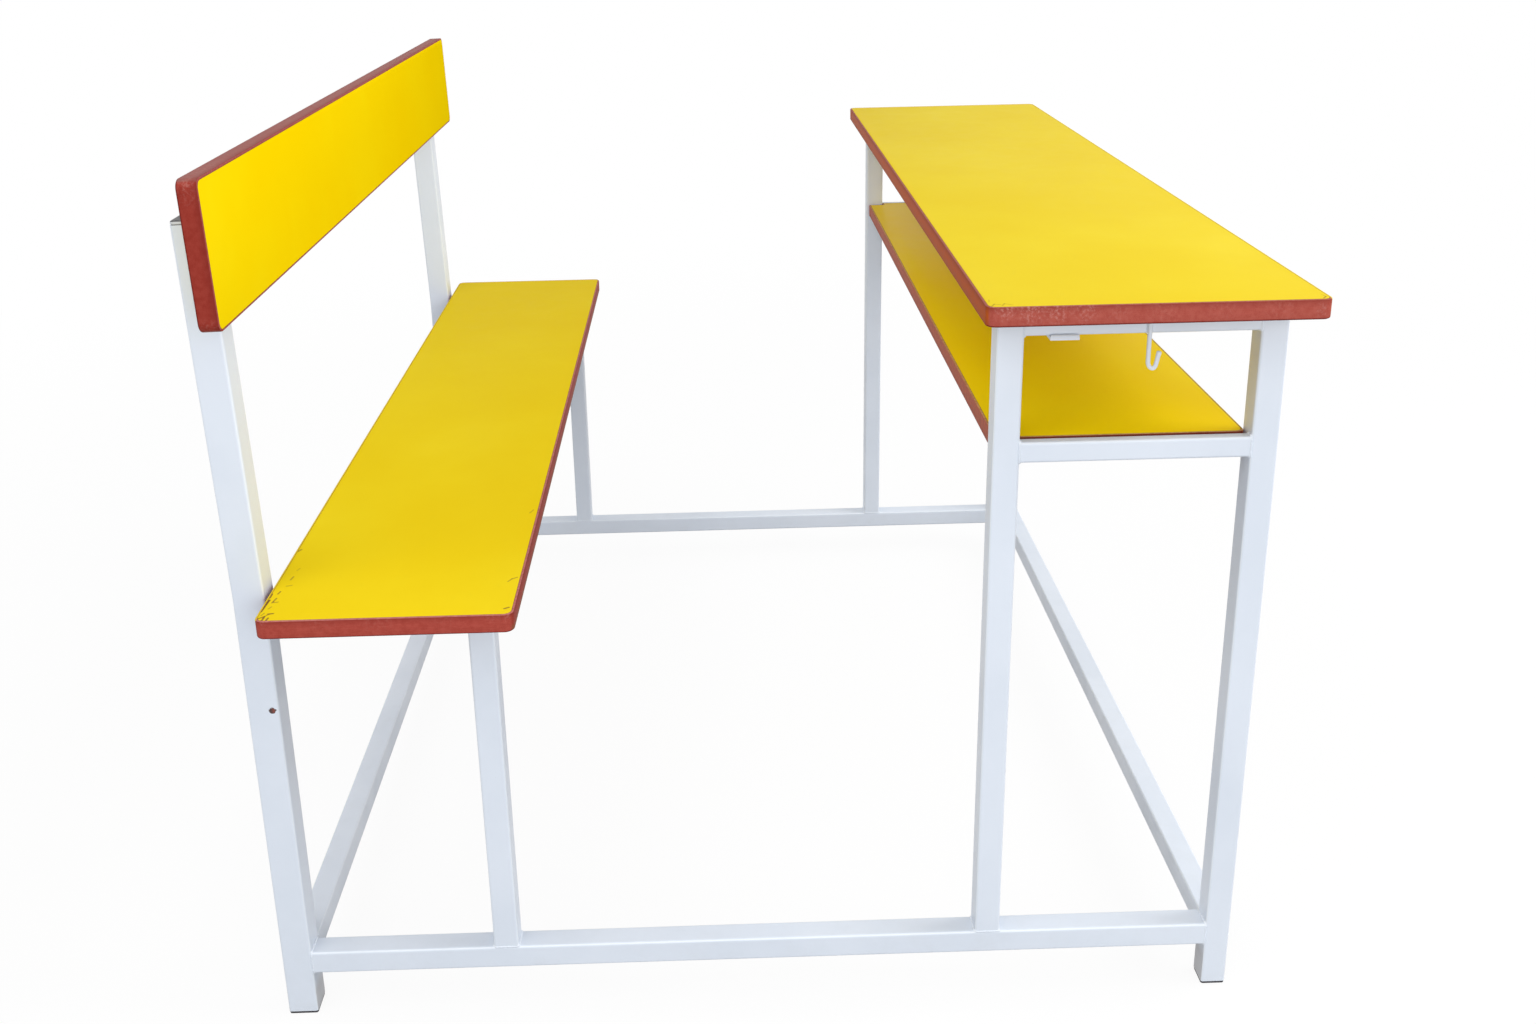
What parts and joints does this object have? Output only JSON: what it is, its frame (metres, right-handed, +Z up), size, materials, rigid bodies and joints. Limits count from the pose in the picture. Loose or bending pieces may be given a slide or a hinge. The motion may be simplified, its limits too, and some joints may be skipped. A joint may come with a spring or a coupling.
{
  "type": "dual desk bench",
  "caption": "Two-seat school bench with backrest and a desk with book shelf and bag hooks, on one welded square-tube frame.",
  "frame": {"origin": "on the floor, under the middle of the whole piece", "axes": "+X along the bench, towards the sitter's left; -Y the way the sitter looks, towards the desk; +Z up"},
  "size_m": [1.2, 0.9916, 0.875],
  "materials": {
    "white_frame_paint": "satin powder coat, bluish white",
    "foot_plastic": "moulded black plastic",
    "cap_plastic": "moulded grey plastic",
    "zinc_screw": "zinc plated",
    "board_core": "particle board",
    "yellow_laminate": "satin decorative laminate",
    "yellow_backer": "satin decorative laminate",
    "plain_backer": "plain balancing laminate",
    "red_edge_band": "red-brown edge band, lightly scuffed"
  },
  "bodies": {
    "root": {"right_rear_post": "white_frame_paint", "right_post_cap": "cap_plastic", "right_rear_foot": "foot_plastic", "right_seat_leg": "white_frame_paint", "right_seat_rail": "white_frame_paint", "right_bottom_rail": "white_frame_paint", "right_desk_back_leg": "white_frame_paint", "right_desk_front_leg": "white_frame_paint", "right_front_foot": "foot_plastic", "right_desk_rail": "white_frame_paint", "right_shelf_rail": "white_frame_paint", "right_desk_tabs": "white_frame_paint", "right_shelf_lugs": "white_frame_paint", "right_bag_hook": "white_frame_paint", "left_rear_post": "white_frame_paint", "left_post_cap": "cap_plastic", "left_rear_foot": "foot_plastic", "left_seat_leg": "white_frame_paint", "left_seat_rail": "white_frame_paint", "left_bottom_rail": "white_frame_paint", "left_desk_back_leg": "white_frame_paint", "left_desk_front_leg": "white_frame_paint", "left_front_foot": "foot_plastic", "left_desk_rail": "white_frame_paint", "left_shelf_rail": "white_frame_paint", "left_desk_tabs": "white_frame_paint", "left_shelf_lugs": "white_frame_paint", "left_bag_hook": "white_frame_paint", "rear_stretcher": "white_frame_paint", "front_stretcher": "white_frame_paint", "seat_bearer": "white_frame_paint", "desktop_core": "board_core", "desktop_laminate": "yellow_laminate", "desktop_backer": "plain_backer", "desktop_edge_band": "red_edge_band", "shelf_core": "board_core", "shelf_laminate": "yellow_laminate", "shelf_backer": "plain_backer", "shelf_edge_band": "red_edge_band", "seat_core": "board_core", "seat_laminate": "yellow_laminate", "seat_backer": "plain_backer", "seat_edge_band": "red_edge_band", "backrest_core": "board_core", "backrest_laminate": "yellow_laminate", "backrest_backer": "yellow_backer", "backrest_edge_band": "red_edge_band", "desktop_screws": "zinc_screw", "shelf_screws": "zinc_screw", "seat_screws": "zinc_screw", "backrest_screws": "zinc_screw"}
  },
  "joints": []
}
